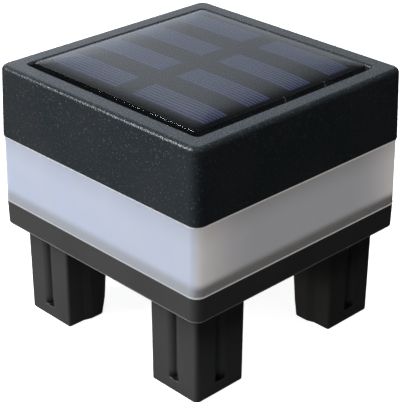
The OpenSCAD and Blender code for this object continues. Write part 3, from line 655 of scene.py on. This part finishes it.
def leg_outline(inset, cut):
    """Outline of a leg with full flutes, and each point's way out of its flute."""
    o, i = LEG_OUT - inset, LEG_IN + inset
    step, step_at, step_run, soft = LEG_STEP, LEG_IN + 9, 2.0, 0.8
    c, d, mouth, bottom, shoulder_r, bottom_r = FLUTE_AT, FLUTE_D, 0.97, 0.28, 2.1, 0.25
    edge_r, corner_r = 0.7, 1.25
    half = [(o, i + step, edge_r), (o, c - mouth, shoulder_r), (o - d, c - bottom, bottom_r),
            (o - d, c + bottom, bottom_r), (o, c + mouth, shoulder_r)]
    back = [(i, i + cut, soft), (i, step_at, soft), (i + step, step_at + step_run, soft)]
    mirrored = [(y, x, r) for x, y, r in reversed(half)]
    front = [(y, x, r) for x, y, r in reversed(back)]
    corners = half + [(o, o, corner_r)] + mirrored + back[::-1] + front[::-1]
    outline = []
    for point, k in rounded(corners):
        flute = Vector((0, 0))
        if 1 <= k <= 4:
            flute = Vector((o - point.x, 0))
        elif 6 <= k <= 9:
            flute = Vector((0, o - point.y))
        outline.append((point, flute))
    return outline


def inwards(outline, distance):
    """Outline moved inwards along its own normals."""
    moved = []
    for k, point in enumerate(outline):
        along = outline[(k + 1) % len(outline)] - outline[k - 1]
        moved.append(point + Vector((-along.y, along.x)).normalized() * distance)
    return moved


def leg(turn):
    """One leg: drafted, with two flutes that end softly above a rounded foot."""
    draft, foot_cut, top_cut = 0.12, 5.6, 3.4
    foot, top = leg_outline(draft, foot_cut), leg_outline(0.0, top_cut)
    foot_r, foot_steps, steps, overlap = 0.5, 5, 6, 0.4
    levels = [foot_r * (1 - cos(pi / 2 * k / foot_steps)) for k in range(foot_steps + 1)]
    levels += [FLUTE_FOOT + FLUTE_RUN_OUT * k / steps for k in range(steps + 1)]
    levels += [FLOOR_Z * k / steps for k in range(2, steps)] + [FLOOR_Z + overlap]
    rings = []
    for z in levels:
        share = z / FLOOR_Z
        open_share = min(max((z - FLUTE_FOOT) / FLUTE_RUN_OUT, 0), 1)
        shut = 1 - sin(open_share * pi / 2) ** 2
        ring = [a.lerp(b, share) + way.lerp(way_b, share) * shut
                for (a, way), (b, way_b) in zip(foot, top)]
        if z < foot_r:
            rise = (foot_r - z) / foot_r
            ring = inwards(ring, foot_r * (1 - (1 - rise ** 2) ** 0.5))
        spun = [Matrix.Rotation(turn, 2) @ p for p in ring]
        rings.append([(*p, z) for p in spun])
    return skin("leg", rings)


def leg_core(turn):
    """Hollow of a leg, open to the inside of the lamp, with a bay in it behind each flute."""
    o, i = LEG_OUT - LEG_WALL, LEG_IN + LEG_STEP + LEG_WALL
    cut, bay, side, low = 3.66, FLUTE_D, 0.3 + LEG_WALL, 2.0
    half = [(o, i, 0.3), (o, FLUTE_AT - side, 0.2), (o - bay, FLUTE_AT - side, 0.2),
            (o - bay, FLUTE_AT + side, 0.2), (o, FLUTE_AT + side, 0.2)]
    corners = half + [(o, o, 0.4)] + [(y, x, r) for x, y, r in reversed(half)]
    corners += [(i, i + cut, 0.3), (i + cut, i, 0.3)]
    ring = [Matrix.Rotation(turn, 2) @ p for p, _ in rounded(corners, steps=3)]
    return skin("core", [[(*p, z) for p in ring] for z in (low, FLOOR_TOP + 1)])


def base_moulding():
    """Skirt, groove, upstand and floor with the four legs, bosses and holes."""
    groove_out, upstand_out, upstand_in, corner = 32.25, 31.2, 29.6, 2.5
    base = square_sweep("base_moulding", [
        (MIDDLE, FLOOR_Z, 0, 1), (BODY - 0.1, FLOOR_Z, 0.3, corner), (BODY, BAND_Z, 0.12, corner),
        (groove_out, BAND_Z, 0.1, 2.2), (groove_out, SEAL_Z, 0, 2.2), (upstand_out, SEAL_Z, 0, 1.8),
        (upstand_out, UPSTAND_Z, 0.3, 1.8), (upstand_in, UPSTAND_Z, 0.3, 1),
        (upstand_in, FLOOR_TOP, 0.4, 1), (MIDDLE, FLOOR_TOP, 0, 1)])
    turns = [k * pi / 2 for k in range(4)]
    bosses_x = (-SWITCH_SCREW, SWITCH_SCREW)
    sunk, pad_r, boss_r = FLOOR_TOP - 0.5, 4.5, 2.8
    pads = [lathe([(pad_r, sunk), (pad_r, FLOOR_TOP + 1.4), (pad_r - 0.2, FLOOR_TOP + 1.6)], x, y)
            for x, y in four(SCREW)]
    bosses = [lathe([(boss_r, sunk), (boss_r, FLOOR_TOP + 1)], x, 0) for x in bosses_x]
    ribs = []
    inner_top, outer_top, rib_end = FLOOR_TOP + 1.2, FLOOR_TOP + 1.5, 30.4
    for side in (-1, 1):
        thick = (side * SCREW - RIB_HALF, side * SCREW + RIB_HALF)
        for reach, top in (((-SCREW, SCREW), inner_top), ((SCREW, rib_end), outer_top),
                           ((-rib_end, -SCREW), outer_top)):
            ribs.append(block(reach, thick, (sunk, top)))
            ribs.append(block(thick, reach, (sunk, top)))
    combine(base, [leg(t) for t in turns] + pads + bosses + ribs, "UNION")
    pocket_r, screw_r, pilot_r, head_seat = 2.7, 1.45, 1.0, FLOOR_Z + 1.6
    pocket = [(pocket_r + 0.3, FLOOR_Z - 1), (pocket_r + 0.3, FLOOR_Z), (pocket_r, FLOOR_Z + 0.3),
              (pocket_r, head_seat), (screw_r, head_seat), (screw_r, FLOOR_TOP + 2)]
    holes = [lathe(pocket, x, y) for x, y in four(SCREW)]
    holes += [lathe([(pilot_r, FLOOR_Z + 1), (pilot_r, FLOOR_TOP + 2)], x, 0) for x in bosses_x]
    dish = [(7.0, FLOOR_Z - 0.5), (6.6, FLOOR_Z), (6.1, FLOOR_Z + 0.3), (5.8, FLOOR_Z + 0.7)]
    holes.append(lathe(dish, 0, 0))
    slot_half_l, slot_half_w = 3.0, 1.6
    holes.append(block((-slot_half_l, slot_half_l), (-slot_half_w, slot_half_w),
                       (FLOOR_Z, FLOOR_TOP + 2)))
    combine(base, [leg_core(t) for t in turns] + holes, "DIFFERENCE")
    return base


# The pieces --------------------------------------------------------------------------------------

def build_lamp():
    """Makes the pieces that stand for CAD nodes, and gives every other node its finish."""
    silver = toned("printed silver", (0.042, 0.045, 0.070), (0.053, 0.056, 0.085), roughness=0.4,
                   Specular_IOR_Level=0.1)
    cells, lines = wafers()
    made = (
        (cap_moulding(), "cap_plastic", "cap_housing"),
        (resin_pillow(), "clear_resin", "panel_resin"),
        (cells, "silicon", "solar_cells"),
        (solder_domes(), "solder", "solder_beads"),
        (light_band(), "diffuser_plastic", "diffuser"),
        (base_moulding(), "base_plastic", "base"),
    )
    for piece, slot, node in made:
        finish_shading(piece)
        seat(piece, slot, FINISHES[slot], node)
    finish_shading(lines)
    seat(lines, "silicon", silver)
    slots = {part["node"]: part["material_slot"] for part in frame["record"]["subparts"]}
    for name, node in frame["nodes"].items():
        if not node.hide_render:
            for place_of in node.material_slots:
                place_of.material = FINISHES[slots[name]]


# Studio ------------------------------------------------------------------------------------------

def studio_floor():
    """Pale floor that stays plain from above, and lets sight and light through from below. Light that
    bounces off it sees a darker floor with a painted pool of light at the lamp's front left.
    """
    half, level = 4.0, -0.05 * MM
    mesh = bpy.data.meshes.new("studio_floor")
    mesh.from_pydata([(x * half, y * half, level) for x, y in four(1)[::-1]], [], [(3, 2, 1, 0)])
    floor = bpy.data.objects.new("studio_floor", mesh)
    bpy.context.scene.collection.objects.link(floor)
    made = bpy.data.materials.new("pale floor")
    made.use_nodes = True
    tree = made.node_tree
    tree.nodes.clear()
    seen = add(tree, "ShaderNodeEmission", {"Color": (1, 1, 1, 1), "Strength": 0.9})
    soft = add(tree, "ShaderNodeBsdfDiffuse", {"Color": (0.8, 0.8, 0.8, 1)})
    bright = add(tree, "ShaderNodeAddShader", {0: seen.outputs[0], 1: soft.outputs[0]})
    at = add(tree, "ShaderNodeSeparateXYZ", {"Vector": place_on_object(tree)}).outputs
    # Painted pool of light, seen only by bounced light: brightest near the lamp's front left, darker
    # to the right, behind and far off.
    aside = ramp(tree, maths(tree, "ADD", at["X"], at["Y"]), -15 * MM, 60 * MM)
    light_pool_centre = (-10 * MM, -60 * MM, 0.0)
    away = add(tree, "ShaderNodeVectorMath", {
        0: place_on_object(tree), 1: light_pool_centre}, operation="DISTANCE").outputs["Value"]
    dim = maths(tree, "MAXIMUM", aside, ramp(tree, away, 30 * MM, 150 * MM))
    dull = add(tree, "ShaderNodeBsdfDiffuse", {
        "Color": blend(tree, dim, (0.10, 0.10, 0.105), grey(0.03))})
    path = add(tree, "ShaderNodeLightPath").outputs
    lit = add(tree, "ShaderNodeMixShader", {
        0: path["Is Camera Ray"], 1: dull.outputs[0], 2: bright.outputs[0]})
    under = maths(tree, "MAXIMUM", path["Is Shadow Ray"],
                  add(tree, "ShaderNodeNewGeometry").outputs["Backfacing"])
    clear = add(tree, "ShaderNodeBsdfTransparent")
    both = add(tree, "ShaderNodeMixShader", {0: under, 1: lit.outputs[0], 2: clear.outputs[0]})
    add(tree, "ShaderNodeOutputMaterial", {"Surface": both.outputs[0]})
    mesh.materials.append(made)


def studio_air():
    """White to the eye. As light, a pale backdrop low behind the lamp in a dim room."""
    world = bpy.data.worlds.new("studio air")
    bpy.context.scene.world = world
    world.use_nodes = True
    tree = world.node_tree
    tree.nodes.clear()
    way = add(tree, "ShaderNodeTexCoord").outputs["Generated"]
    at = add(tree, "ShaderNodeSeparateXYZ", {"Vector": way}).outputs
    low_down = maths(tree, "MULTIPLY", ramp(tree, at["Z"], -0.02, 0.02),
                     ramp(tree, at["Z"], 0.48, 0.69, 1.0, 0.0))
    turned = maths(tree, "ARCTAN2", maths(tree, "MULTIPLY", at["X"], -1.0), at["Y"])
    behind = maths(tree, "MULTIPLY", ramp(tree, turned, radians(22), radians(51), smooth=False),
                   ramp(tree, turned, radians(70), radians(105), 1.0, 0.0))
    backdrop = maths(tree, "MULTIPLY", low_down, behind)
    room = blend(tree, backdrop, grey(0.012), (0.83, 0.90, 1.00))
    path = add(tree, "ShaderNodeLightPath").outputs["Is Camera Ray"]
    shown = blend(tree, path, room, (1.0, 1.0, 1.0))
    air = add(tree, "ShaderNodeBackground", {"Color": shown})
    add(tree, "ShaderNodeOutputWorld", {"Surface": air.outputs[0]})


def lamp_light(name, way, distance, size, watts, colour, mirrored=True):
    """Soft area light that looks at the lamp from a given direction, mirrored by it or not."""
    light = bpy.data.lights.new(name, "AREA")
    light.shape = "RECTANGLE"
    light.size, light.size_y = size
    light.energy = watts
    light.color = colour
    holder = bpy.data.objects.new(name, light)
    holder.visible_glossy = mirrored
    aim = Vector((0, 0, 0.04))
    way = Vector(way).normalized()
    holder.matrix_world = Matrix.Translation(aim + way * distance) @ (
        way.to_track_quat("Z", "Y").to_matrix().to_4x4())
    bpy.context.scene.collection.objects.link(holder)


def camera():
    """Camera at the photograph's viewing angle, from its perspective."""
    azimuth, elevation, roll = radians(45.775), radians(26.999), radians(0.173)
    distance, across, up_by, focal_px, long_side_px = 0.328817, 0.000067, 0.005147, 1353.2, 402
    back = Vector((sin(azimuth) * cos(elevation), -cos(azimuth) * cos(elevation), sin(elevation)))
    level = Vector((0, 0, 1))
    right = (-back).cross(level).normalized()
    up = right.cross(-back)
    turned_right = right * cos(roll) + up * sin(roll)
    turned_up = up * cos(roll) - right * sin(roll)
    place_at = back * distance + turned_right * across + turned_up * up_by
    place_at += level * FLOOR_Z * MM
    data = bpy.data.cameras.new("camera")
    data.sensor_width = 36.0
    data.lens = data.sensor_width * focal_px / long_side_px
    data.clip_start, data.clip_end = 0.01, 50.0
    eye = bpy.data.objects.new("camera", data)
    eye.matrix_world = Matrix((
        (turned_right.x, turned_up.x, back.x, place_at.x),
        (turned_right.y, turned_up.y, back.y, place_at.y),
        (turned_right.z, turned_up.z, back.z, place_at.z),
        (0, 0, 0, 1)))
    bpy.context.scene.collection.objects.link(eye)
    bpy.context.scene.camera = eye


build_lamp()
studio_floor()
studio_air()
lamp_light("window", (-0.45, -0.72, 0.53), 0.9, (0.5, 0.3), 6.4, (0.9, 0.95, 1.0))
lamp_light("overhead", (0.0, -0.25, 0.97), 0.9, (1.0, 1.0), 12.0, (0.92, 0.97, 1.0),
           mirrored=False)
lamp_light("table glow", (0.0, 0.0, -1.0), 0.6, (0.2, 0.2), 2.2, (1.0, 1.0, 1.0), mirrored=False)
lamp_light("low fill", (-0.50, -0.84, 0.17), 0.9, (0.3, 0.12), 2.1, (1.0, 0.98, 0.93),
           mirrored=False)
camera()
bpy.context.scene.view_settings.view_transform = "Standard"
